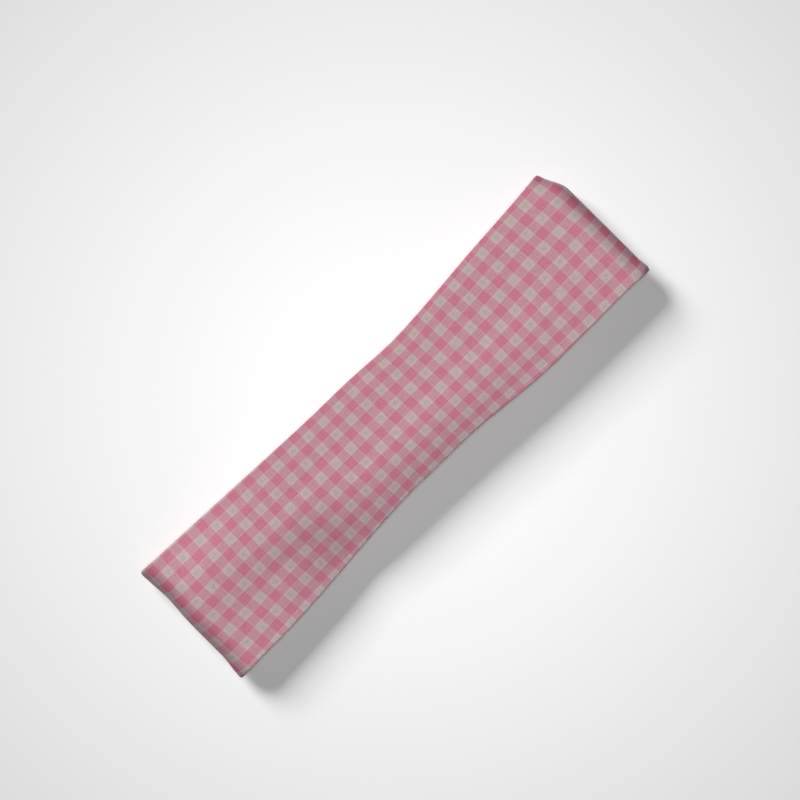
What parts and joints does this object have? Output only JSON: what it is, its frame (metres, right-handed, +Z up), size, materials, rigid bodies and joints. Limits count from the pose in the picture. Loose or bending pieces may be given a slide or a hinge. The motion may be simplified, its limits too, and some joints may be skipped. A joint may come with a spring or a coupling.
{
  "type": "sports headband",
  "caption": "Wide two-ply stretch fabric headband with a small woven check, pressed flat as a folded loop.",
  "frame": {"origin": "middle of the resting face, on the surface that the flattened loop lies on", "axes": "+X along the flattened loop, towards the end that the picture shows upper right; +Y across the band; +Z up, from the back half to the front half"},
  "size_m": [0.25, 0.0648, 0.014],
  "materials": {
    "printed_jersey": "matt stretch jersey printed with a pink and off-white gingham of about 4.6 mm squares",
    "lining_jersey": "matt plain pink wicking jersey",
    "turned_edge": "printed jersey turned over the sewn allowances",
    "sewing_thread": "textured polyester overlock thread",
    "label_tape": "blank satin tape"
  },
  "bodies": {
    "back_mid": {"outer_back_mid": "printed_jersey", "lining_back_mid": "lining_jersey", "edge_seam_upper_back_mid": "turned_edge", "edge_seam_lower_back_mid": "turned_edge", "back_seam_ridge": "lining_jersey", "back_seam_thread": "sewing_thread", "bar_tack_upper": "sewing_thread", "bar_tack_lower": "sewing_thread", "care_label": "label_tape"},
    "back_left": {"outer_back_left": "printed_jersey", "lining_back_left": "lining_jersey", "edge_seam_upper_back_left": "turned_edge", "edge_seam_lower_back_left": "turned_edge"},
    "fold_left": {"outer_fold_left": "printed_jersey", "lining_fold_left": "lining_jersey", "edge_seam_upper_fold_left": "turned_edge", "edge_seam_lower_fold_left": "turned_edge"},
    "front_left": {"outer_front_left": "printed_jersey", "lining_front_left": "lining_jersey", "edge_seam_upper_front_left": "turned_edge", "edge_seam_lower_front_left": "turned_edge"},
    "front_mid_left": {"outer_front_mid_left": "printed_jersey", "lining_front_mid_left": "lining_jersey", "edge_seam_upper_front_mid_left": "turned_edge", "edge_seam_lower_front_mid_left": "turned_edge"},
    "back_right": {"outer_back_right": "printed_jersey", "lining_back_right": "lining_jersey", "edge_seam_upper_back_right": "turned_edge", "edge_seam_lower_back_right": "turned_edge"},
    "fold_right": {"outer_fold_right": "printed_jersey", "lining_fold_right": "lining_jersey", "edge_seam_upper_fold_right": "turned_edge", "edge_seam_lower_fold_right": "turned_edge"},
    "front_right": {"outer_front_right": "printed_jersey", "lining_front_right": "lining_jersey", "edge_seam_upper_front_right": "turned_edge", "edge_seam_lower_front_right": "turned_edge"},
    "front_mid_right": {"outer_front_mid_right": "printed_jersey", "lining_front_mid_right": "lining_jersey", "edge_seam_upper_front_mid_right": "turned_edge", "edge_seam_lower_front_mid_right": "turned_edge"}
  },
  "joints": [
    {"name": "loop_open", "type": "hinge", "parent": "back_mid", "child": "back_left", "pos_m": [-0.0415, 0, 0.0021], "axis": [0, 1, 0], "range_deg": [0, 60]},
    {"name": "fold_left_lower_bend", "type": "hinge", "parent": "back_left", "child": "fold_left", "pos_m": [-0.12295, 0, 0.00205], "axis": [0, 1, 0], "range_deg": [-60, 0]},
    {"name": "fold_left_upper_bend", "type": "hinge", "parent": "fold_left", "child": "front_left", "pos_m": [-0.12295, 0, 0.01195], "axis": [0, 1, 0], "range_deg": [-60, 0]},
    {"name": "front_left_bend", "type": "hinge", "parent": "front_left", "child": "front_mid_left", "pos_m": [-0.0415, 0, 0.0119], "axis": [0, 1, 0], "range_deg": [0, 60]},
    {"name": "back_right_bend", "type": "hinge", "parent": "back_mid", "child": "back_right", "pos_m": [0.0415, 0, 0.0021], "axis": [0, 1, 0], "range_deg": [-60, 0]},
    {"name": "fold_right_lower_bend", "type": "hinge", "parent": "back_right", "child": "fold_right", "pos_m": [0.12295, 0, 0.00205], "axis": [0, 1, 0], "range_deg": [0, 60]},
    {"name": "fold_right_upper_bend", "type": "hinge", "parent": "fold_right", "child": "front_right", "pos_m": [0.12295, 0, 0.01195], "axis": [0, 1, 0], "range_deg": [0, 60]},
    {"name": "front_right_bend", "type": "hinge", "parent": "front_right", "child": "front_mid_right", "pos_m": [0.0415, 0, 0.0119], "axis": [0, 1, 0], "range_deg": [-60, 0]}
  ],
  "couplings": [
    {"joint": "fold_left_lower_bend", "follows": "loop_open", "ratio": -1},
    {"joint": "fold_left_upper_bend", "follows": "loop_open", "ratio": -1},
    {"joint": "front_left_bend", "follows": "loop_open", "ratio": 1},
    {"joint": "back_right_bend", "follows": "loop_open", "ratio": -1},
    {"joint": "fold_right_lower_bend", "follows": "loop_open", "ratio": 1},
    {"joint": "fold_right_upper_bend", "follows": "loop_open", "ratio": 1},
    {"joint": "front_right_bend", "follows": "loop_open", "ratio": -1}
  ]
}
